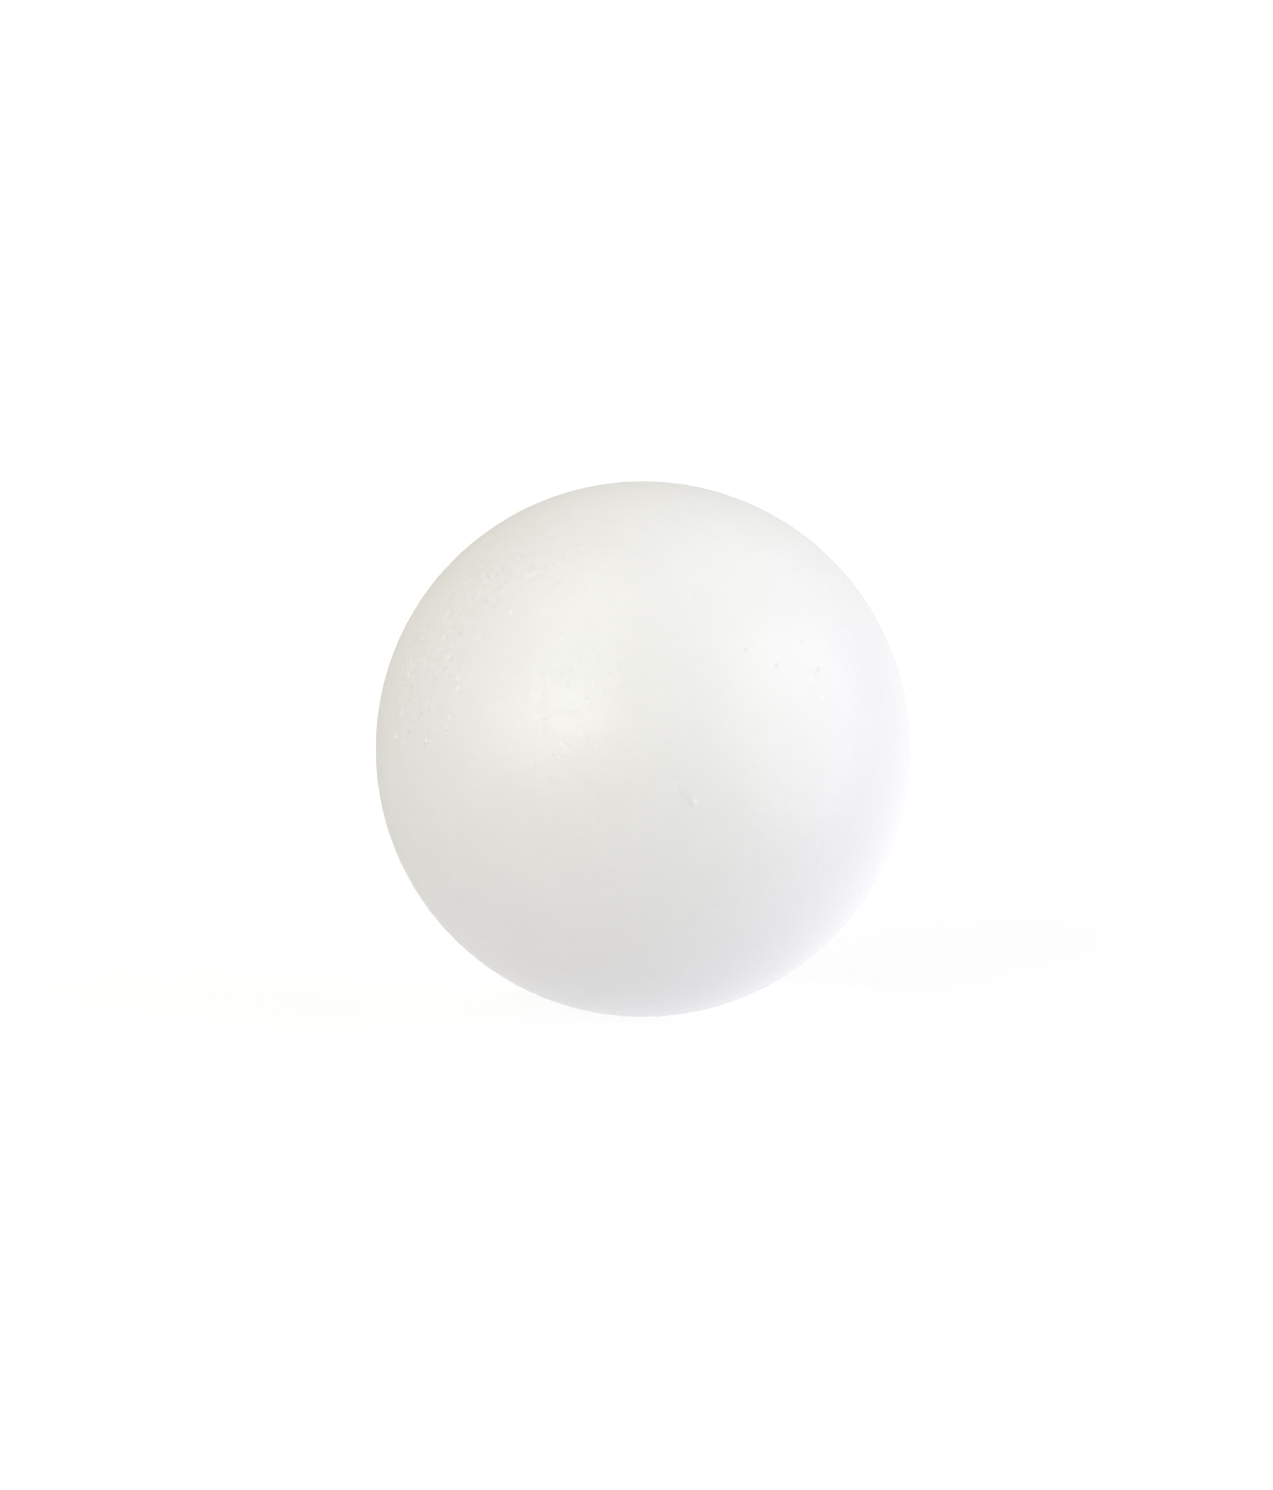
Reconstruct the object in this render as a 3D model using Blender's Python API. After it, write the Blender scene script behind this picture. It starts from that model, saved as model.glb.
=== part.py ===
"""An expanded polystyrene craft ball, moulded in one piece from beads of foam.

Metres, +Z up, with the origin at the ball's centre. The two halves of its mould opened along Y,
so the flash line runs round the XZ plane, and the beads were blown in at the +Y pole.
"""

import math

import bmesh
import bpy
import numpy as np
from mathutils import Matrix, Vector

# The ball, and the skin of beads that the mould pressed flat against each other
BALL_DIAMETER = 0.080
BEAD_COUNT = 2560
BEAD_SCATTER = 0.3  # of the beads' spacing
BEAD_SEED = 11
SETTLING_PASSES = 3
SHORTEST_BEAD_EDGE = 0.0001

# The flash line, a fine ridge where the two halves of the mould met
FLASH_HEIGHT = 0.00012
FLASH_CREST_WIDTH = 0.0003
FLASH_FOOT_WIDTH = 0.0011
FLASH_SEGMENTS = 80

# The ring that the filling port's nozzle pressed into the skin
PORT_DIAMETER = 0.009
PORT_GROOVE_WIDTH = 0.0007
PORT_GROOVE_DEPTH = 0.0002
PORT_SEGMENTS = 32

# Knocks in the skin, each an oval hollow. Bearing is counted from the front (-Y) towards +X and
# lift from the horizon towards +Z. Turn is the long axis's tilt from upright, clockwise as seen.
KNOCKS = (
    {"bearing": 8.9, "lift": -6.0, "turn": -30, "length": 0.0036, "width": 0.0018, "depth": 0.00030},
    {"bearing": 29.8, "lift": 20.5, "turn": 12, "length": 0.0011, "width": 0.0009, "depth": 0.00025},
    {"bearing": 39.9, "lift": 18.2, "turn": 45, "length": 0.0032, "width": 0.0012, "depth": 0.00030},
)
KNOCK_SEGMENTS = 12
KNOCK_RINGS = 8

# Moulded polystyrene foam is a clean white with a satin skin
FOAM_COLOUR = (0.90, 0.90, 0.87, 1.0)
FOAM_ROUGHNESS = 0.55

BALL_RADIUS = BALL_DIAMETER / 2


def clear_scene():
    for obj in list(bpy.data.objects):
        bpy.data.objects.remove(obj, do_unlink=True)


def add_object(name, mesh_edit):
    """A new object in the scene from an edit mesh, which is freed."""
    bmesh.ops.recalc_face_normals(mesh_edit, faces=mesh_edit.faces)
    mesh = bpy.data.meshes.new(name)
    mesh_edit.to_mesh(mesh)
    mesh_edit.free()
    obj = bpy.data.objects.new(name, mesh)
    bpy.context.scene.collection.objects.link(obj)
    return obj


def foam_material():
    """Expanded polystyrene: a white satin skin with no grain of its own."""
    material = bpy.data.materials.new("expanded_polystyrene")
    material.use_nodes = True
    shader = material.node_tree.nodes["Principled BSDF"]
    shader.inputs["Base Color"].default_value = FOAM_COLOUR
    shader.inputs["Roughness"].default_value = FOAM_ROUGHNESS
    shader.inputs["Metallic"].default_value = 0.0
    return material


def bead_net(centres):
    """The triangles that join each bead's centre to those of the beads round it.

    A bead that its neighbours crowd out of the skin is dropped.
    """
    net = bmesh.new()
    for centre in centres:
        net.verts.new(centre)
    bmesh.ops.convex_hull(net, input=net.verts, use_existing_faces=False)
    crowded_out = [bead for bead in net.verts if not bead.link_faces]
    bmesh.ops.delete(net, geom=crowded_out, context="VERTS")
    bmesh.ops.beautify_fill(net, faces=net.faces, edges=net.edges, method="ANGLE")
    bmesh.ops.recalc_face_normals(net, faces=net.faces)
    return net


def triangles_round(bead):
    """The net's triangles that meet at a bead's centre, in their order round it."""
    first = bead.link_loops[0]
    loop = first
    while True:
        yield loop.face
        loop = loop.link_loop_prev.link_loop_radial_next
        if loop == first:
            return


def scattered_centres():
    """Directions from the ball's centre to the beads: an even spiral, shaken at random."""
    spacing = math.sqrt(4 * math.pi / BEAD_COUNT)
    golden_turn = math.pi * (3 - math.sqrt(5))
    shakes = np.random.default_rng(BEAD_SEED).normal(scale=BEAD_SCATTER * spacing, size=(BEAD_COUNT, 3))
    centres = []
    for index, shake in enumerate(shakes):
        height = 1 - (2 * index + 1) / BEAD_COUNT
        reach = math.sqrt(1 - height**2)
        turn = index * golden_turn
        on_spiral = Vector((reach * math.cos(turn), reach * math.sin(turn), height))
        centres.append((on_spiral + Vector(shake)).normalized())
    return centres


def settled_centres(centres):
    """The directions after each bead has moved to the middle of the ring of beads round it."""
    net = bead_net(centres)
    moved = []
    for bead in net.verts:
        middle = Vector()
        for face in bead.link_faces:
            middle += face.calc_center_median() * face.calc_area()
        moved.append(middle.normalized())
    net.free()
    return moved


def bead_skin(centres):
    """One flat facet for each bead, touching the ball's sphere at the bead's centre.

    Three beads meet where the planes of their facets cross. That point lies along the normal of
    the triangle between their centres, further out as the triangle cuts deeper into the sphere.
    """
    net = bead_net(centres)
    skin = bmesh.new()
    corner_of = {}
    for face in net.faces:
        reach = face.normal.dot(face.verts[0].co)
        corner_of[face] = skin.verts.new(face.normal * (BALL_RADIUS / reach))
    for bead in net.verts:
        skin.faces.new([corner_of[face] for face in triangles_round(bead)])
    net.free()
    bmesh.ops.remove_doubles(skin, verts=skin.verts, dist=SHORTEST_BEAD_EDGE)
    bmesh.ops.triangulate(skin, faces=skin.faces)
    return skin


def turned_ring(name, profile, segments):
    """A closed profile of (distance from the Y axis, y) points turned once round that axis."""
    ring = bmesh.new()
    verts = [ring.verts.new((distance, y, 0)) for distance, y in profile]
    edges = [ring.edges.new((a, b)) for a, b in zip(verts, verts[1:] + verts[:1])]
    bmesh.ops.spin(
        ring,
        geom=verts + edges,
        cent=(0, 0, 0),
        axis=(0, 1, 0),
        angle=math.tau,
        steps=segments,
        use_merge=True,
    )
    return add_object(name, ring)


def flash_ring():
    """The flash line's ridge, rooted in the ball as deep as its foot is wide."""
    root = BALL_RADIUS - FLASH_FOOT_WIDTH
    crest = BALL_RADIUS + FLASH_HEIGHT
    half_foot = FLASH_FOOT_WIDTH / 2
    half_crest = FLASH_CREST_WIDTH / 2
    profile = [
        (root, -half_foot),
        (BALL_RADIUS, -half_foot),
        (crest, -half_crest),
        (crest, half_crest),
        (BALL_RADIUS, half_foot),
        (root, half_foot),
    ]
    return turned_ring("flash_ring", profile, FLASH_SEGMENTS)


def port_cutter():
    """The collar that cuts the filling port's ring, down to one depth under the skin."""
    middle = PORT_DIAMETER / 2
    half = PORT_GROOVE_WIDTH / 2
    skin = math.sqrt(BALL_RADIUS**2 - middle**2)
    floor = skin - PORT_GROOVE_DEPTH
    mouth = skin + PORT_GROOVE_WIDTH
    profile = [
        (middle, floor),
        (middle + half, skin),
        (middle + half, mouth),
        (middle - half, mouth),
        (middle - half, skin),
    ]
    return turned_ring("port_cutter", profile, PORT_SEGMENTS)


def knock_cutter(index, knock):
    """An egg-shaped cutter that dips into the skin by the knock's depth.

    Its middle stands as far outside the skin as it dips in, so the hollow's rim is a slope. The
    egg is wider at its middle than where it meets the skin, by one over the cosine of 30 degrees.
    """
    egg = bmesh.new()
    bmesh.ops.create_uvsphere(egg, u_segments=KNOCK_SEGMENTS, v_segments=KNOCK_RINGS, radius=1)
    widening = 1 / math.cos(math.radians(30))
    half_axes = (
        knock["width"] / 2 * widening,
        knock["depth"] * 2,
        knock["length"] / 2 * widening,
    )
    place = (
        Matrix.Rotation(math.radians(knock["bearing"]), 4, "Z")
        @ Matrix.Rotation(math.radians(-knock["lift"]), 4, "X")
        @ Matrix.Translation((0, -BALL_RADIUS - knock["depth"], 0))
        @ Matrix.Rotation(math.radians(knock["turn"]), 4, "Y")
        @ Matrix.Diagonal((*half_axes, 1))
    )
    bmesh.ops.transform(egg, matrix=place, verts=egg.verts)
    return add_object(f"knock_cutter_{index}", egg)


def join_to(body, tool, operation):
    """Joins or cuts a hidden helper shape into the body with a Boolean."""
    tool.parent = body
    tool.hide_render = True
    tool.display_type = "WIRE"
    modifier = body.modifiers.new(tool.name, "BOOLEAN")
    modifier.object = tool
    modifier.operation = operation
    modifier.solver = "EXACT"


def build_ball():
    centres = scattered_centres()
    for _ in range(SETTLING_PASSES):
        centres = settled_centres(centres)
    ball = add_object("foam_ball", bead_skin(centres))
    ball.data.materials.append(foam_material())
    join_to(ball, flash_ring(), "UNION")
    join_to(ball, port_cutter(), "DIFFERENCE")
    for index, knock in enumerate(KNOCKS):
        join_to(ball, knock_cutter(index, knock), "DIFFERENCE")


clear_scene()
build_ball()
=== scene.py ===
import math

import bmesh
import bpy
import numpy as np
from mathutils import Matrix, Vector, kdtree, noise


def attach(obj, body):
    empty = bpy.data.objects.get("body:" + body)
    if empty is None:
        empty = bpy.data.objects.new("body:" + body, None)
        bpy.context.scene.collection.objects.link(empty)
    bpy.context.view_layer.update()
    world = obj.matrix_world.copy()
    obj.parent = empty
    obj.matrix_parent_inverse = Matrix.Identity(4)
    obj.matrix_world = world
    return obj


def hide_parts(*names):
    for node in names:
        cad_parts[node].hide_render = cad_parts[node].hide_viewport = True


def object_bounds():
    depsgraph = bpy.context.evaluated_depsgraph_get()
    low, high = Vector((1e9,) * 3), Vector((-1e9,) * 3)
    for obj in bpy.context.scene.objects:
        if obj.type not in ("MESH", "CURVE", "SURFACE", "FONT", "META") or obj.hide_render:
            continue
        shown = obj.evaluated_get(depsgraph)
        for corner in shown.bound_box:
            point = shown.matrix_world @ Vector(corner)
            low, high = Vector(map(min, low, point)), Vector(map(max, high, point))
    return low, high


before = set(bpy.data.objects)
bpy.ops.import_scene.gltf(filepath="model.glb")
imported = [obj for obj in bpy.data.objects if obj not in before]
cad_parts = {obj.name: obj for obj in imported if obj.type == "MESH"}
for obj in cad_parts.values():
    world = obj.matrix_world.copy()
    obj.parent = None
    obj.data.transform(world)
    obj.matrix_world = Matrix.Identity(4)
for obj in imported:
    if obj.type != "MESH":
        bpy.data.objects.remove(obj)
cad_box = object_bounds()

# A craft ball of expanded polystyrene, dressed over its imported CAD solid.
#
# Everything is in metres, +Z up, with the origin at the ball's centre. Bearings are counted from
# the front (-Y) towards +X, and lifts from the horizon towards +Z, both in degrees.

# The picture's frame, and where the ball's middle and edge lie in it, in pixels
FRAME_WIDTH = 1273
FRAME_HEIGHT = 1490
BALL_CENTRE_X = 643.0
BALL_CENTRE_Y = 749.4
BALL_EDGE_REACH = 267.4

# The camera stands this far from the ball's centre, a little above it
CAMERA_DISTANCE = 0.5
CAMERA_LIFT = 4.0
SENSOR_HEIGHT = 36.0  # mm

# The ball, as in the part's source
BALL_RADIUS = 0.040
SHORTEST_BEAD_EDGE = 0.0001

# Corners of a mesh that are this near are one
SAME_PLACE = 1e-6

# How the facets of the beads are told in the solid's triangles
FACET_FLATNESS = 0.6  # degrees, more than the triangles of one facet turn
FACET_TOUCH = 0.00001  # how near a facet's plane comes to touching the sphere
SMALLEST_FACET = 0.3e-6  # square metres
SAME_BEAD = 0.01  # radians, between the normals of one bead's facets

# The skin of fused beads. Openness goes by a noise with values round 0.5.
BEAD_SKIN = {
    "Ball Radius": BALL_RADIUS,
    "Groove Width": 0.00040,
    "Fused Groove Depth": 0.000008,
    "Open Groove Depth": 0.000024,
    "Open Patch Size": 0.0022,
    "Open From": 0.52,
    "Open Full": 0.68,
    "Bead Dome": 0.000012,
    "Bead Height Spread": 0.000004,
    "Bead Tilt": 0.011,
    "Seed": 5,
}

# The flash line, where the two halves of the mould met, in the XZ plane
FLASH_HEIGHT = 0.00012
FLASH_CREST_WIDTH = 0.0003
FLASH_SHOULDER_WIDTH = 0.0006
FLASH_FOOT_WIDTH = 0.0011
CUT_TOLERANCE = 1e-5  # a corner this near a cut lies on it

# The ring that the filling port's nozzle pressed into the skin, round the +Y pole
PORT_RADIUS = 0.0045
PORT_GROOVE_WIDTH = 0.0007
PORT_GROOVE_DEPTH = 0.0002

# Knocks in the skin, each an oval hollow: bearing, lift, turn, and length, width and depth in
# millimetres. Turn is the long axis's tilt from upright, clockwise as seen. The first three are
# cut in the CAD solid as well. Those of a depth below zero are flecks that stand up.
KNOCKS = (
    (8.9, -6.0, -30, 3.6, 1.8, 0.05),
    (29.8, 20.5, 12, 1.1, 0.9, 0.13),
    (39.9, 18.2, 45, 3.2, 1.2, 0.05),
    # the split in the first knock, with a fleck pushed up in it
    (7.4, -4.4, -28, 2.4, 0.7, 0.07),
    (9.5, -7.2, -25, 1.2, 0.6, 0.08),
    (10.4, -6.5, -10, 1.4, 0.7, -0.14),
    # the scar's pit and torn edge, and small pits and flecks round it
    (41.0, 19.5, 20, 1.2, 1.0, 0.12),
    (38.8, 17.3, -5, 2.2, 0.7, -0.08),
    (40.4, 13.3, 0, 1.0, 0.9, -0.08),
    (37.1, 25.7, 0, 1.2, 0.6, -0.08),
    (38.2, 25.5, 0, 1.2, 0.5, 0.10),
    (22.9, 24.0, 10, 0.9, 0.8, 0.12),
    (31.8, 16.7, 70, 1.3, 0.7, 0.05),
    # beads that didn't quite fuse, where the light shows them
    (-15.8, 17.2, 0, 2.0, 0.6, 0.10),
    (-15.4, 20.1, 0, 0.8, 0.6, 0.10),
    (-9.9, 21.6, 30, 1.2, 0.7, 0.06),
    (-11.5, 14.2, 80, 1.2, 0.8, 0.10),
    (-20.4, 9.8, 88, 2.4, 0.5, 0.09),
    (-21.6, 13.2, 80, 1.4, 0.6, 0.06),
    (-13.5, 7.5, 0, 1.4, 0.5, 0.09),
    (-5.1, 14.0, -60, 1.8, 0.7, 0.06),
)
MM = 0.001
KNOCK_BOWL = 1.25  # of its depth, where the flat floor cuts it off
KNOCK_LIP = 0.15  # of its depth
LIP_MIDDLE = 1.15  # of the knock's reach
LIP_HALF_WIDTH = 0.3  # of the knock's reach
KNOCK_FULL_DEPTH = 0.2  # mm, where its painted shade is full, or its painted glint if it stands up

# The mesh is finer where something is pressed into it
LONGEST_FINE_EDGE = 0.00033
FINE_PASSES = 3
FINE_REACH = 0.75  # of a mark's length, from its middle

# Patches where beads fused badly, which left soft lumps and short creases: bearing, lift, reach in
# degrees, how many creases, and how much deeper they are than CREASE_DEPTH. The last patch is on
# the far side.
BAD_PATCHES = (
    (-56.0, 16.0, 15.0, 100, 1.4),
    (-53.0, 31.0, 13.0, 70, 1.4),
    (-35.0, 45.0, 13.0, 36, 1.1),
    (-16.5, 15.0, 13.0, 64, 0.65),
    (125.0, -25.0, 30.0, 40, 0.8),
)
CREASE_SEED = 7
CREASE_LENGTH = (0.7, 1.5)  # mm, the shortest and the longest
CREASE_WIDTH = (0.38, 0.60)  # mm
CREASE_DEPTH = (0.06, 0.13)  # mm, sunk or stood up
CREASE_CROWDING = 0.6  # above 0.5 they crowd towards the middle of their patch
LUMP_HEIGHT = 0.00016
LUMP_SPACING = 0.0015
LUMPS_ALL_OVER = 0.13  # of their height in a bad patch
LUMPS_FULL_WITHIN = 1 / 3  # of a patch's reach

# The foam's grain. The cells are about 0.1 mm wide, too fine to show, so they are drawn 0.35 mm
# wide.
CELL_SIZE = 0.00035
CELL_RELIEF = 0.00003
GROOVE_SHADE = 0.03  # of the way from white to the grooves' painted shade

# The stage: a floor that bends up into a wall all round, and how its glow changes outwards
FLOOR_REACH = 2.5
WALL_BEND = 0.6
WALL_BEND_STEPS = 10
WALL_HEIGHT = 3.0
FLOOR_SEGMENTS = 96
FLOOR_GLOW_SPAN = (0.10, 0.70)
FLOOR_GLOW_NEAR = "E0E0E0"
FLOOR_GLOW_FAR = "FFFFFF"

# Soft round lights: bearing, lift, distance and width in metres, and linear colour times power
LIGHTS = {
    "softbox_left": (-24, 18, 0.9, 0.35, (1.58, 1.41, 1.35)),
    "softbox_left_high": (-36, 33, 0.9, 0.3, (0.79, 1.03, 1.01)),
    "softbox_left_low": (-40, 12, 0.9, 0.5, (1.54, 1.57, 1.22)),
    "panel_left": (-60, 15, 1.0, 0.7, (2.06, 1.82, 2.11)),
    "panel_upper_left": (-50, 62, 1.0, 0.7, (2.55, 2.47, 2.50)),
    "panel_right": (70, 10, 1.0, 1.4, (9.19, 9.19, 9.59)),
    "panel_upper_right": (90, 50, 1.0, 1.4, (3.33, 3.29, 3.67)),
}

# The light that comes from all round: an axis, where the glow starts and is full (as the cosine of
# the angle off the axis), and its linear colour
SURROUND = {
    "back": ((0, 1, 0.2), 0.1, 1.0, (0.62, 0.60, 0.46)),
    "back_right_low": ((1, 1, -0.6), 0.1, 1.0, (0.33, 0.33, 0.47)),
    "below": ((0, 0, -1), -0.1, 1.0, (0.91, 0.91, 0.94)),
}


def linear(hex_colour):
    """An sRGB colour in hex as linear red, green, blue and alpha."""
    channels = [int(hex_colour[i:i + 2], 16) / 255 for i in (0, 2, 4)]
    return [c / 12.92 if c <= 0.04045 else ((c + 0.055) / 1.055) ** 2.4 for c in channels] + [1.0]


def direction(bearing, lift):
    """The unit vector from the ball's centre at a bearing and a lift."""
    bearing, lift = math.radians(bearing), math.radians(lift)
    return Vector((math.sin(bearing) * math.cos(lift), -math.cos(bearing) * math.cos(lift), math.sin(lift)))


def add_object(name, data):
    """A new object in the scene that shows a mesh, camera or light."""
    obj = bpy.data.objects.new(name, data)
    bpy.context.scene.collection.objects.link(obj)
    return obj


def node(tree, kind, settings=None, out=None, **links):
    """A new node with its settings, or its output that out names or counts.

    Each link names an input and gives a socket or a value. An input's name is its name in Blender
    with _ for a space, or its number, as in_0, where it shares its name with others.
    """
    made = tree.nodes.new(kind)
    for key, value in (settings or {}).items():
        setattr(made, key, value)
    for key, value in links.items():
        if key.startswith("in_"):
            socket = made.inputs[int(key[3:])]
        else:
            socket = next(s for s in made.inputs if s.name == key.replace("_", " ") and s.enabled)
        if isinstance(value, bpy.types.NodeSocket):
            tree.links.new(value, socket)
        else:
            socket.default_value = value
    return made if out is None else made.outputs[out]


def add_camera():
    """The camera, turned a hair so that the ball's centre falls where the photograph has it."""
    data = bpy.data.cameras.new("camera")
    data.sensor_fit = "VERTICAL"
    data.sensor_height = SENSOR_HEIGHT
    half_angle = math.asin(BALL_RADIUS / CAMERA_DISTANCE)
    pixels_long = BALL_EDGE_REACH / math.tan(half_angle)
    data.lens = pixels_long * SENSOR_HEIGHT / FRAME_HEIGHT
    data.clip_start = 0.01
    data.clip_end = 50
    camera = add_object("camera", data)
    place = direction(0, CAMERA_LIFT) * CAMERA_DISTANCE
    facing = (-place).to_track_quat("-Z", "Y")
    pan = math.atan((BALL_CENTRE_X - FRAME_WIDTH / 2) / pixels_long)
    tip = math.atan((BALL_CENTRE_Y - FRAME_HEIGHT / 2) / pixels_long)
    turn = facing.to_matrix().to_4x4() @ Matrix.Rotation(pan, 4, "Y") @ Matrix.Rotation(tip, 4, "X")
    camera.matrix_world = Matrix.Translation(place) @ turn
    bpy.context.scene.camera = camera


def bead_centres():
    """Where the CAD solid's facets touch the sphere, one for each bead."""
    skin = bmesh.new()
    skin.from_mesh(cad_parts["foam_ball"].data)
    bmesh.ops.remove_doubles(skin, verts=skin.verts, dist=SAME_PLACE)
    bmesh.ops.dissolve_limit(
        skin, angle_limit=math.radians(FACET_FLATNESS), verts=skin.verts, edges=skin.edges,
    )
    normals = []
    for face in skin.faces:
        off_sphere = abs(face.normal.dot(face.verts[0].co) - BALL_RADIUS)
        if off_sphere < FACET_TOUCH and face.calc_area() > SMALLEST_FACET:
            normals.append(face.normal.copy())
    skin.free()
    # The flash line cuts some facets in two, and both halves have the one bead's normal
    tree = kdtree.KDTree(len(normals))
    for index, normal in enumerate(normals):
        tree.insert(normal, index)
    tree.balance()
    centres = []
    for index, normal in enumerate(normals):
        nearest = min(found for _, found, _ in tree.find_range(normal, SAME_BEAD))
        if nearest == index:
            centres.append(normal)
    return centres


def bead_cells(centres):
    """A closed mesh with one flat cell for each bead, meeting halfway between their centres."""
    net = bmesh.new()
    for centre in centres:
        net.verts.new(centre)
    bmesh.ops.convex_hull(net, input=net.verts, use_existing_faces=False)
    bmesh.ops.delete(net, geom=[v for v in net.verts if not v.link_faces], context="VERTS")
    bmesh.ops.beautify_fill(net, faces=net.faces, edges=net.edges, method="ANGLE")
    bmesh.ops.recalc_face_normals(net, faces=net.faces)
    cells = bmesh.new()
    corner_of = {}
    for face in net.faces:
        reach = face.normal.dot(face.verts[0].co)
        corner_of[face] = cells.verts.new(face.normal * (BALL_RADIUS / reach))
    for bead in net.verts:
        first = loop = bead.link_loops[0]
        corners = []
        while True:
            corners.append(corner_of[loop.face])
            loop = loop.link_loop_prev.link_loop_radial_next
            if loop == first:
                break
        cells.faces.new(corners)
    net.free()
    bmesh.ops.remove_doubles(cells, verts=cells.verts, dist=SHORTEST_BEAD_EDGE)
    bmesh.ops.recalc_face_normals(cells, faces=cells.faces)
    mesh = bpy.data.meshes.new("bead_cells")
    cells.to_mesh(mesh)
    cells.free()
    return mesh


def bead_skin_tree(material):
    """Geometry Nodes that turn flat cells into pillowed beads with grooves between them."""
    tree = bpy.data.node_groups.new("bead_skin", "GeometryNodeTree")
    tree.interface.new_socket("Geometry", in_out="INPUT", socket_type="NodeSocketGeometry")
    tree.interface.new_socket("Geometry", in_out="OUTPUT", socket_type="NodeSocketGeometry")
    for name, value in BEAD_SKIN.items():
        kind = "NodeSocketInt" if isinstance(value, int) else "NodeSocketFloat"
        tree.interface.new_socket(name, in_out="INPUT", socket_type=kind)
    given = node(tree, "NodeGroupInput").outputs
    maths, vectors = "ShaderNodeMath", "ShaderNodeVectorMath"
    smoothstep = {"interpolation_type": "SMOOTHSTEP"}

    # What each bead keeps: its middle on the sphere, its half width, and its random tilt and height
    position = node(tree, "GeometryNodeInputPosition", out=0)
    outward = node(tree, vectors, {"operation": "NORMALIZE"}, out=0, in_0=position)
    on_sphere = node(
        tree, vectors, {"operation": "SCALE"}, out=0, in_0=outward, Scale=given["Ball Radius"],
    )
    area = node(tree, "GeometryNodeInputMeshFaceArea", out=0)
    as_disc = node(tree, maths, {"operation": "DIVIDE"}, out=0, in_0=area, in_1=math.pi)
    height_seed = node(tree, maths, {"operation": "ADD"}, out=0, in_0=given["Seed"], in_1=1.0)
    kept = {
        "middle": on_sphere,
        "half_width": node(tree, maths, {"operation": "SQRT"}, out=0, in_0=as_disc),
        "tilt": node(
            tree, "FunctionNodeRandomValue", {"data_type": "FLOAT_VECTOR"}, out=0,
            in_0=(-1, -1, -1), in_1=(1, 1, 1), Seed=given["Seed"],
        ),
        "height": node(tree, "FunctionNodeRandomValue", out=1, in_2=-1.0, in_3=1.0, Seed=height_seed),
    }
    keep = node(tree, "GeometryNodeCaptureAttribute", {"domain": "FACE"}, Geometry=given["Geometry"])
    for name, socket in kept.items():
        keep.capture_items.new("VECTOR" if name in ("middle", "tilt") else "FLOAT", name)
        tree.links.new(socket, keep.inputs[name])
    bead = keep.outputs

    # A bead's top, drawn in from its border by half a groove
    tops = node(
        tree, "GeometryNodeExtrudeMesh", Mesh=bead["Geometry"], Offset_Scale=0.0, Individual=True,
    ).outputs
    half_groove = node(tree, maths, {"operation": "MULTIPLY"}, out=0, in_0=given["Groove Width"], in_1=0.5)
    lost = node(tree, maths, {"operation": "DIVIDE"}, out=0, in_0=half_groove, in_1=bead["half_width"])
    shrink = node(tree, maths, {"operation": "SUBTRACT"}, out=0, in_0=1.0, in_1=lost)
    drawn_in = node(
        tree, "GeometryNodeScaleElements", out=0,
        Geometry=tops["Mesh"], Selection=tops["Top"], Scale=shrink, Center=bead["middle"],
    )
    border = node(tree, maths, {"operation": "SUBTRACT"}, out=0, in_0=1.0, in_1=tops["Top"])
    marked = node(
        tree, "GeometryNodeStoreNamedAttribute", {"data_type": "FLOAT", "domain": "POINT"}, out=0,
        Geometry=drawn_in, Name="groove", Value=border,
    )
    rounded = node(tree, "GeometryNodeSubdivisionSurface", out=0, Mesh=marked, Level=1)
    groove = node(tree, "GeometryNodeInputNamedAttribute", {"data_type": "FLOAT"}, out=0, Name="groove")
    sunk = node(tree, "ShaderNodeMapRange", smoothstep, out=0, Value=groove)

    # Most borders are fused nearly flush, and short stretches of them stand open
    per_metre = node(tree, maths, {"operation": "DIVIDE"}, out=0, in_0=1.0, in_1=given["Open Patch Size"])
    patches = node(tree, "ShaderNodeTexNoise", out=0, Vector=position, Scale=per_metre, Detail=1.0)
    openness = node(
        tree, "ShaderNodeMapRange", smoothstep, out=0,
        Value=patches, From_Min=given["Open From"], From_Max=given["Open Full"],
    )
    depth = node(
        tree, "ShaderNodeMapRange", out=0,
        Value=openness, To_Min=given["Fused Groove Depth"], To_Max=given["Open Groove Depth"],
    )

    # Each top is a little domed, tilted and raised
    from_middle = node(tree, vectors, {"operation": "SUBTRACT"}, out=0, in_0=on_sphere, in_1=bead["middle"])
    off = node(tree, vectors, {"operation": "LENGTH"}, out="Value", in_0=from_middle)
    share = node(tree, maths, {"operation": "DIVIDE"}, out=0, in_0=off, in_1=bead["half_width"])
    share_squared = node(tree, maths, {"operation": "MULTIPLY"}, out=0, in_0=share, in_1=share)
    dome = node(tree, maths, {"operation": "SUBTRACT"}, out=0, in_0=1.0, in_1=share_squared)
    slope = node(
        tree, vectors, {"operation": "DOT_PRODUCT"}, out="Value", in_0=from_middle, in_1=bead["tilt"],
    )
    raised = node(
        tree, maths, {"operation": "MULTIPLY"}, out=0, in_0=given["Bead Height Spread"], in_1=bead["height"],
    )
    tilted = node(
        tree, maths, {"operation": "MULTIPLY_ADD"}, out=0, in_0=given["Bead Tilt"], in_1=slope, in_2=raised,
    )
    top = node(
        tree, maths, {"operation": "MULTIPLY_ADD"}, out=0, in_0=given["Bead Dome"], in_1=dome, in_2=tilted,
    )

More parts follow.
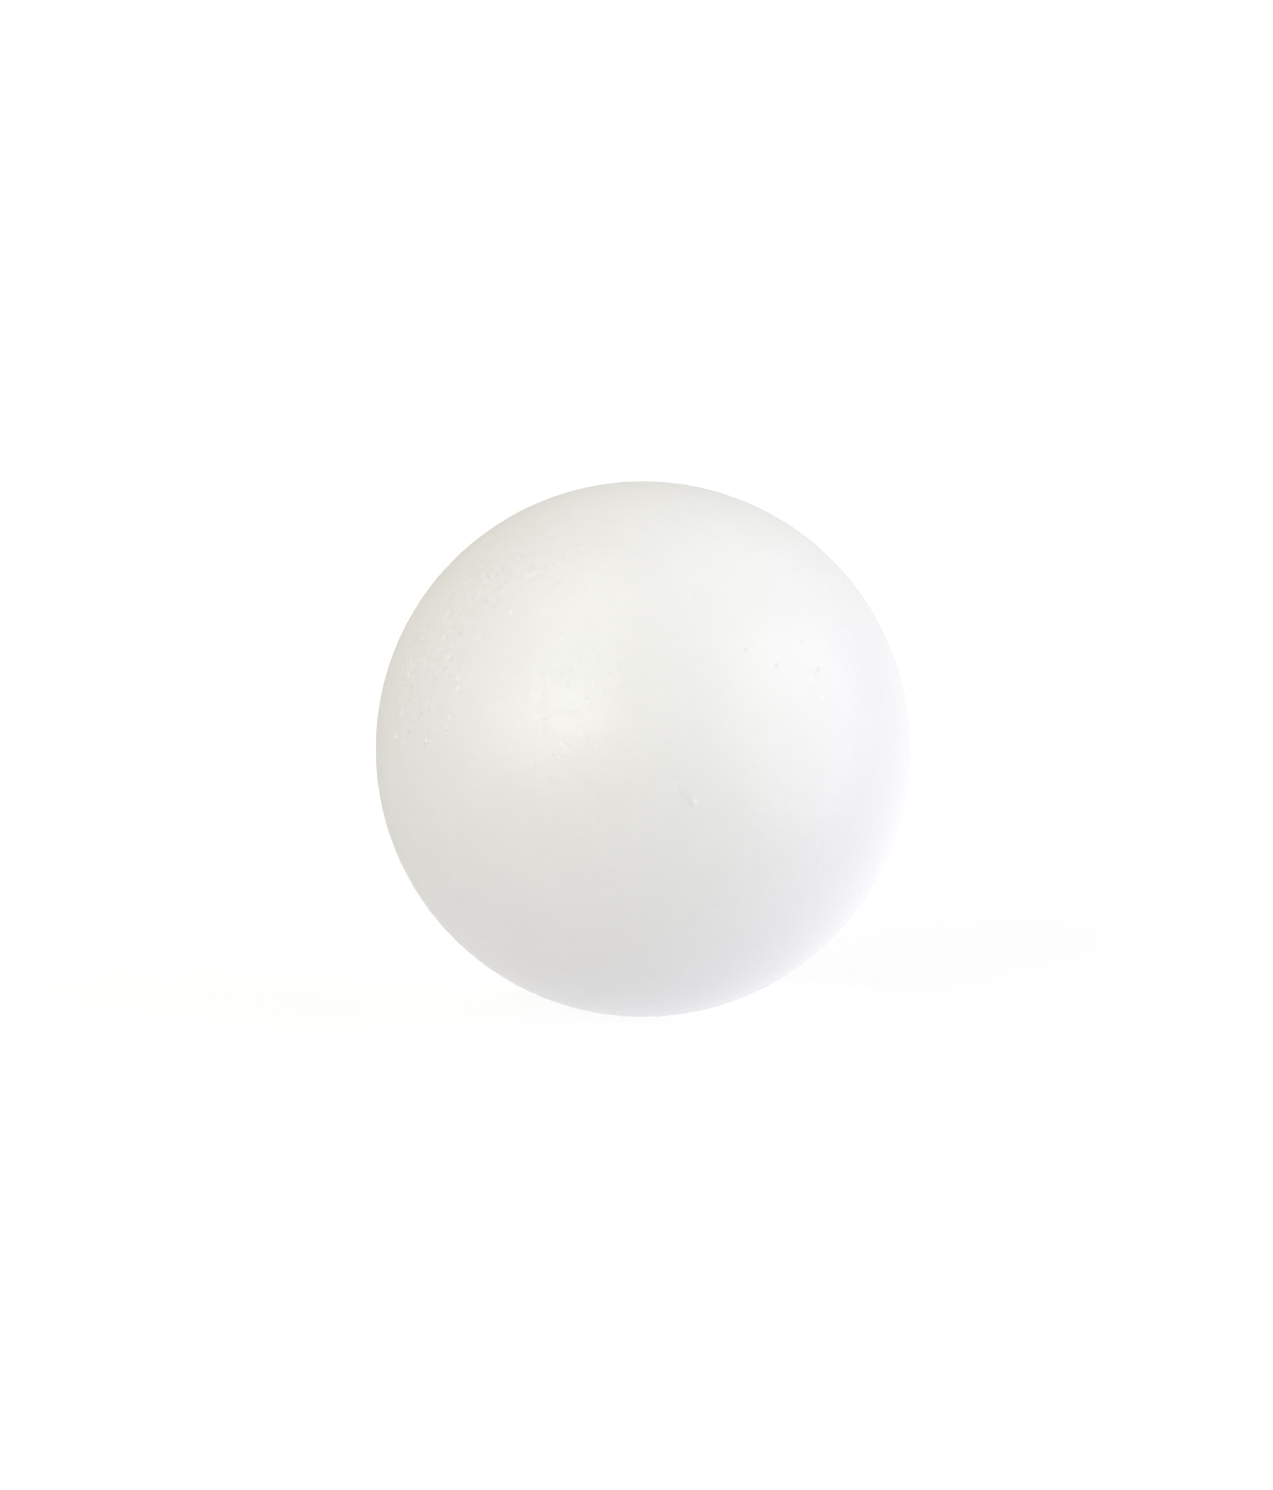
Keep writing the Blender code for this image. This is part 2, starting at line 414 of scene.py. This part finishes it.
    # Back on the sphere, with the tops lifted and the grooves sunk
    drop = node(tree, maths, {"operation": "ADD"}, out=0, in_0=top, in_1=depth)
    dropped = node(tree, maths, {"operation": "MULTIPLY"}, out=0, in_0=drop, in_1=sunk)
    lift = node(tree, maths, {"operation": "SUBTRACT"}, out=0, in_0=top, in_1=dropped)
    radius = node(tree, maths, {"operation": "ADD"}, out=0, in_0=given["Ball Radius"], in_1=lift)
    place = node(tree, vectors, {"operation": "SCALE"}, out=0, in_0=outward, Scale=radius)
    settled = node(tree, "GeometryNodeSetPosition", out=0, Geometry=rounded, Position=place)
    toned = node(
        tree, "GeometryNodeStoreNamedAttribute", {"data_type": "FLOAT", "domain": "FACE"}, out=0,
        Geometry=settled, Name="bead_tone", Value=bead["height"],
    )
    open_groove = node(tree, maths, {"operation": "MULTIPLY"}, out=0, in_0=groove, in_1=openness)
    opened = node(
        tree, "GeometryNodeStoreNamedAttribute", {"data_type": "FLOAT", "domain": "POINT"}, out=0,
        Geometry=toned, Name="groove", Value=open_groove,
    )
    smooth = node(tree, "GeometryNodeSetShadeSmooth", out=0, Geometry=opened)
    real = node(tree, "GeometryNodeRealizeInstances", out=0, Geometry=smooth)
    finished = node(tree, "GeometryNodeSetMaterial", out=0, Geometry=real, Material=material)
    node(tree, "NodeGroupOutput", in_0=finished)
    return tree


def finer_near(skin, near):
    """Splits the edges of faces that near() picks until none is longer than LONGEST_FINE_EDGE."""
    for _ in range(FINE_PASSES):
        picked = set()
        for face in skin.faces:
            if near(face.calc_center_median()):
                picked.update(face.edges)
        long_edges = [e for e in skin.edges if e in picked and e.calc_length() > LONGEST_FINE_EDGE]
        if not long_edges:
            return
        bmesh.ops.subdivide_edges(skin, edges=long_edges, cuts=1, use_grid_fill=True)
        bmesh.ops.triangulate(skin, faces=[f for f in skin.faces if len(f.verts) > 4])


def refine(mesh, marks):
    """Cuts edges along the flash line, and makes the mesh finer at the marks and the port's ring."""
    middles = kdtree.KDTree(len(marks))
    for index, (bearing, lift, *_) in enumerate(marks):
        middles.insert(direction(bearing, lift) * BALL_RADIUS, index)
    middles.balance()
    reaches = [length * MM * FINE_REACH for _, _, _, length, _, _ in marks]

    def near_mark(place):
        found = middles.find_range(place, max(reaches))
        return any(off < reaches[index] for _, index, off in found)

    def near_port(place):
        off_axis = math.hypot(place.x, place.z)
        return place.y > 0 and abs(off_axis - PORT_RADIUS) < PORT_GROOVE_WIDTH

    skin = bmesh.new()
    skin.from_mesh(mesh)
    cuts = (FLASH_CREST_WIDTH / 2, FLASH_SHOULDER_WIDTH / 2, FLASH_FOOT_WIDTH / 2)
    for at in (*(-cut for cut in reversed(cuts)), *cuts):
        bmesh.ops.bisect_plane(
            skin, geom=skin.verts[:] + skin.edges[:] + skin.faces[:],
            plane_co=(0, at, 0), plane_no=(0, 1, 0), dist=CUT_TOLERANCE,
        )
    finer_near(skin, near_mark)
    finer_near(skin, near_port)
    skin.to_mesh(mesh)
    skin.free()


def scattered_creases():
    """Creases scattered at random over the bad patches, as rows like those of KNOCKS."""
    chance = np.random.default_rng(CREASE_SEED)
    rows = []
    for bearing, lift, reach, count, strength in BAD_PATCHES:
        for _ in range(count):
            off = reach * chance.uniform() ** CREASE_CROWDING
            toward = chance.uniform(0, math.tau)
            rows.append((
                bearing + off * math.cos(toward) / math.cos(math.radians(lift)),
                lift + off * math.sin(toward),
                chance.uniform(0, 180),
                chance.uniform(*CREASE_LENGTH),
                chance.uniform(*CREASE_WIDTH),
                chance.uniform(*CREASE_DEPTH) * chance.choice((-1, 1)) * strength,
            ))
    return rows


def soft_lumps(places, out):
    """The height of the skin's soft lumps, which are fullest in the bad patches."""
    fullness = np.full(len(places), LUMPS_ALL_OVER)
    for bearing, lift, reach, _, _ in BAD_PATCHES:
        angle = np.degrees(np.arccos(np.clip(out @ np.array(direction(bearing, lift)), -1, 1)))
        within = np.clip((1 - angle / reach) / (1 - LUMPS_FULL_WITHIN), 0, 1)
        fullness = np.maximum(fullness, within)
    lumps = np.array([noise.noise(place) for place in places / LUMP_SPACING])
    return LUMP_HEIGHT * lumps * fullness


def flash_rise(places):
    """How high a place is on the flash line, from 0 at its foot to 1 on its crest."""
    crest, foot = FLASH_CREST_WIDTH / 2, FLASH_FOOT_WIDTH / 2
    rise = np.clip((foot - np.abs(places[:, 1])) / (foot - crest), 0, 1)
    return rise**2 * (3 - 2 * rise)


def hollow(share):
    """How deep a hollow is, from 1 in its middle to 0 at its rim, with a raised lip outside it.

    Share is the distance from the hollow's middle, as a share of its reach.
    """
    inside = np.clip(1 - share, 0, 1)
    bowl = inside**2 * (3 - 2 * inside)
    lip = np.clip(1 - np.abs(share - LIP_MIDDLE) / LIP_HALF_WIDTH, 0, 1)
    return np.clip(bowl * KNOCK_BOWL, 0, 1) - KNOCK_LIP * lip


def oval_hollow(places, bearing, lift, turn, length, width):
    """How deep an oval hollow is at each place, as hollow() says."""
    turned = (
        Matrix.Rotation(math.radians(bearing), 3, "Z")
        @ Matrix.Rotation(math.radians(-lift), 3, "X")
        @ Matrix.Rotation(math.radians(turn), 3, "Y")
    )
    local = places @ np.array(turned) / MM
    share = np.hypot(local[:, 0] / (width / 2), local[:, 2] / (length / 2))
    share[local[:, 1] > 0] = np.inf  # the far side of the ball
    return hollow(share)


def press_details(mesh):
    """Presses the lumps, flash line, port's ring, knocks and creases into the mesh.

    It notes on the mesh where hollows get painted shade and where raised flecks get painted glints.
    """
    marks = [*KNOCKS, *scattered_creases()]
    refine(mesh, marks)
    count = len(mesh.vertices)
    places = np.empty(count * 3)
    mesh.vertices.foreach_get("co", places)
    places = places.reshape(-1, 3)
    reach = np.linalg.norm(places, axis=1)
    out = places / reach[:, None]
    reach = reach + soft_lumps(places, out)
    # The flash line's crest covers the relief that it stands on
    rise = flash_rise(places)
    reach = reach + (BALL_RADIUS - reach) * rise + FLASH_HEIGHT * rise
    off_ring = np.abs(np.hypot(places[:, 0], places[:, 2]) - PORT_RADIUS) / (PORT_GROOVE_WIDTH / 2)
    reach = reach - PORT_GROOVE_DEPTH * np.clip(hollow(off_ring), 0, 1) * (places[:, 1] > 0)
    knocked = np.zeros(count)
    for *where_and_size, depth in marks:
        pressed = oval_hollow(places, *where_and_size)
        reach = reach - depth * MM * pressed
        knocked += np.clip(pressed, 0, 1) * depth / KNOCK_FULL_DEPTH
    # Shares for the painted shade in the hollows and the painted glints on the raised flecks
    for name, share in (("hollow_shade", knocked), ("fleck_glint", -knocked)):
        mesh.attributes.new(name, "FLOAT", "POINT").data.foreach_set("value", np.clip(share, 0, 1))
    mesh.vertices.foreach_set("co", (out * reach[:, None]).ravel())
    mesh.update()


def make_ball(material):
    """The ball's skin of beads as one plain mesh, with its details pressed in."""
    tree = bead_skin_tree(material)
    ball = add_object("foam_ball_skin", bead_cells(bead_centres()))
    modifier = ball.modifiers.new("bead_skin", "NODES")
    modifier.node_group = tree
    for item in tree.interface.items_tree:
        if item.in_out == "INPUT" and item.name in BEAD_SKIN:
            modifier[item.identifier] = BEAD_SKIN[item.name]
    bpy.context.view_layer.update()
    evaluated = ball.evaluated_get(bpy.context.evaluated_depsgraph_get())
    mesh = bpy.data.meshes.new_from_object(evaluated)
    ball.modifiers.clear()
    ball.data = mesh
    press_details(mesh)
    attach(ball, "root")
    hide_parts("foam_ball")


def foam_material():
    """Expanded polystyrene, steam-fused in a polished mould.

    It gives the eye a clean white with a satin sheen: a skin of closed cells that scatters light
    a little way in, so no groove goes dark, with a fine grain of cells.
    """
    material = bpy.data.materials.new("expanded_polystyrene_foam")
    material.use_nodes = True
    tree = material.node_tree
    shader = tree.nodes["Principled BSDF"]
    shader.inputs["IOR"].default_value = 1.59
    shader.inputs["Roughness"].default_value = 0.60
    # The mould's polish leaves a thin closed skin, glossier than the foam under it
    shader.inputs["Coat Weight"].default_value = 0.30
    shader.inputs["Coat Roughness"].default_value = 0.25
    shader.inputs["Coat IOR"].default_value = 1.59
    shader.inputs["Subsurface Weight"].default_value = 0.2
    shader.inputs["Subsurface Radius"].default_value = (1.0, 1.0, 0.9)
    shader.inputs["Subsurface Scale"].default_value = 0.0008

    place = node(tree, "ShaderNodeTexCoord", out="Object")
    groove = node(tree, "ShaderNodeAttribute", {"attribute_name": "groove"}, out="Fac")
    tone = node(tree, "ShaderNodeAttribute", {"attribute_name": "bead_tone"}, out="Fac")

    # Some beads are blown a little denser than others, and look a shade whiter
    tone_share = node(tree, "ShaderNodeMapRange", out=0, Value=tone, From_Min=-1.0, From_Max=1.0)
    white = node(
        tree, "ShaderNodeMix", {"data_type": "RGBA"}, out=2,
        Factor=tone_share, in_6=linear("E9E9E5"), in_7=linear("EAEAE6"),
    )
    # Painted shade: the grooves are darkened a little, as less light comes back out of them
    groove_painted_shade = node(tree, "ShaderNodeMath", {"operation": "MULTIPLY"}, out=0, in_0=groove, in_1=GROOVE_SHADE)
    colour = node(
        tree, "ShaderNodeMix", {"data_type": "RGBA"}, out=2, Factor=groove_painted_shade, in_6=white, in_7=linear("D5D5CF"),
    )
    # Painted shade darkens the hollows of knocks and creases, and painted glints whiten the raised flecks
    hollow_shade = node(tree, "ShaderNodeAttribute", {"attribute_name": "hollow_shade"}, out="Fac")
    fleck_glint = node(tree, "ShaderNodeAttribute", {"attribute_name": "fleck_glint"}, out="Fac")
    # Painted shade toward a grey in the hollows, and painted glints toward white on the raised flecks
    for share, tint, strength in ((hollow_shade, "B9B8B0", 0.25), (fleck_glint, "FAFAF8", 0.9)):
        factor = node(tree, "ShaderNodeMath", {"operation": "MULTIPLY"}, out=0, in_0=share, in_1=strength)
        colour = node(
            tree, "ShaderNodeMix", {"data_type": "RGBA"}, out=2,
            Factor=factor, in_6=colour, in_7=linear(tint),
        )
    tree.links.new(colour, shader.inputs["Base Color"])

    cells = node(
        tree, "ShaderNodeTexVoronoi", {"feature": "SMOOTH_F1"}, out="Distance",
        Vector=place, Scale=1 / CELL_SIZE, Smoothness=0.6,
    )
    grain = node(tree, "ShaderNodeBump", out=0, Strength=0.25, Distance=CELL_RELIEF, Height=cells)
    tree.links.new(grain, shader.inputs["Normal"])
    return material


def floor_material():
    """Opal acrylic sheet, cast, lit from below as on a light table.

    It gives the eye a plain white in which shadows stay faint.
    """
    material = bpy.data.materials.new("lit_opal_acrylic")
    material.use_nodes = True
    tree = material.node_tree
    shader = tree.nodes["Principled BSDF"]
    shader.inputs["Base Color"].default_value = linear("9A9A9A")
    shader.inputs["Roughness"].default_value = 0.9
    shader.inputs["Specular IOR Level"].default_value = 0.0
    shader.inputs["Emission Strength"].default_value = 1.0
    # The glow is dimmer where the studio lights reach, so that the whole floor is one white
    place = node(tree, "ShaderNodeTexCoord", out="Object")
    reach = node(tree, "ShaderNodeVectorMath", {"operation": "LENGTH"}, out="Value", in_0=place)
    share = node(
        tree, "ShaderNodeMapRange", {"interpolation_type": "SMOOTHSTEP"}, out=0,
        Value=reach, From_Min=FLOOR_GLOW_SPAN[0], From_Max=FLOOR_GLOW_SPAN[1],
    )
    glow = node(
        tree, "ShaderNodeMix", {"data_type": "RGBA"}, out=2,
        Factor=share, in_6=linear(FLOOR_GLOW_NEAR), in_7=linear(FLOOR_GLOW_FAR),
    )
    tree.links.new(glow, shader.inputs["Emission Color"])
    return material


def add_stage():
    """A round white floor that the ball touches, which bends up into a wall all round.

    It is only looked at and takes the ball's shadow. Its glow is kept off the ball, which the
    lights and the surround light by themselves.
    """
    floor_level = cad_box[0][2]
    profile = [(0, 0), (FLOOR_REACH / 2, 0)]
    for step in range(WALL_BEND_STEPS + 1):
        angle = math.radians(90 * step / WALL_BEND_STEPS)
        profile.append((FLOOR_REACH + WALL_BEND * math.sin(angle), WALL_BEND * (1 - math.cos(angle))))
    profile.append((FLOOR_REACH + WALL_BEND, WALL_HEIGHT))
    sweep = bmesh.new()
    verts = [sweep.verts.new((x, 0, floor_level + z)) for x, z in profile]
    edges = [sweep.edges.new(pair) for pair in zip(verts, verts[1:])]
    bmesh.ops.spin(
        sweep, geom=verts + edges, cent=(0, 0, 0), axis=(0, 0, 1),
        angle=math.tau, steps=FLOOR_SEGMENTS, use_merge=True,
    )
    bmesh.ops.remove_doubles(sweep, verts=sweep.verts, dist=SAME_PLACE)
    bmesh.ops.recalc_face_normals(sweep, faces=sweep.faces)
    mesh = bpy.data.meshes.new("floor_sweep")
    sweep.to_mesh(mesh)
    sweep.free()
    mesh.materials.append(floor_material())
    mesh.shade_smooth()
    floor = add_object("floor_sweep", mesh)
    floor.visible_diffuse = False
    floor.visible_glossy = False
    floor.visible_transmission = False
    floor.visible_shadow = False


def add_light(name, bearing, lift, distance, width, strength):
    """A soft round light, aimed at the ball's centre and itself unseen."""
    data = bpy.data.lights.new(name, "AREA")
    data.shape = "DISK"
    data.size = width
    data.energy = max(strength)
    data.color = [part / data.energy for part in strength]
    light = add_object(name, data)
    light.visible_camera = False
    place = direction(bearing, lift) * distance
    facing = (-place).to_track_quat("-Z", "Y")
    light.matrix_world = Matrix.Translation(place) @ facing.to_matrix().to_4x4()


def add_surround():
    """The world: dim glows from behind, and a white one from below as off a white table."""
    world = bpy.data.worlds.new("surround")
    bpy.context.scene.world = world
    world.use_nodes = True
    tree = world.node_tree
    toward = node(tree, "ShaderNodeTexCoord", out="Generated")
    total = (0.0, 0.0, 0.0)
    for name, (axis, start, full, colour) in SURROUND.items():
        aligned = node(
            tree, "ShaderNodeVectorMath", {"operation": "DOT_PRODUCT"}, out="Value",
            in_0=toward, in_1=Vector(axis).normalized(),
        )
        share = node(
            tree, "ShaderNodeMapRange", {"interpolation_type": "SMOOTHSTEP"}, out=0,
            Value=aligned, From_Min=start, From_Max=full,
        )
        glow = node(
            tree, "ShaderNodeVectorMath", {"operation": "SCALE", "label": name}, out=0,
            in_0=colour, Scale=share,
        )
        total = node(tree, "ShaderNodeVectorMath", {"operation": "ADD"}, out=0, in_0=total, in_1=glow)
    tree.links.new(total, tree.nodes["Background"].inputs["Color"])


add_camera()
make_ball(foam_material())
add_stage()
for name, values in LIGHTS.items():
    add_light(name, *values)
add_surround()
bpy.context.scene.view_settings.view_transform = "Standard"
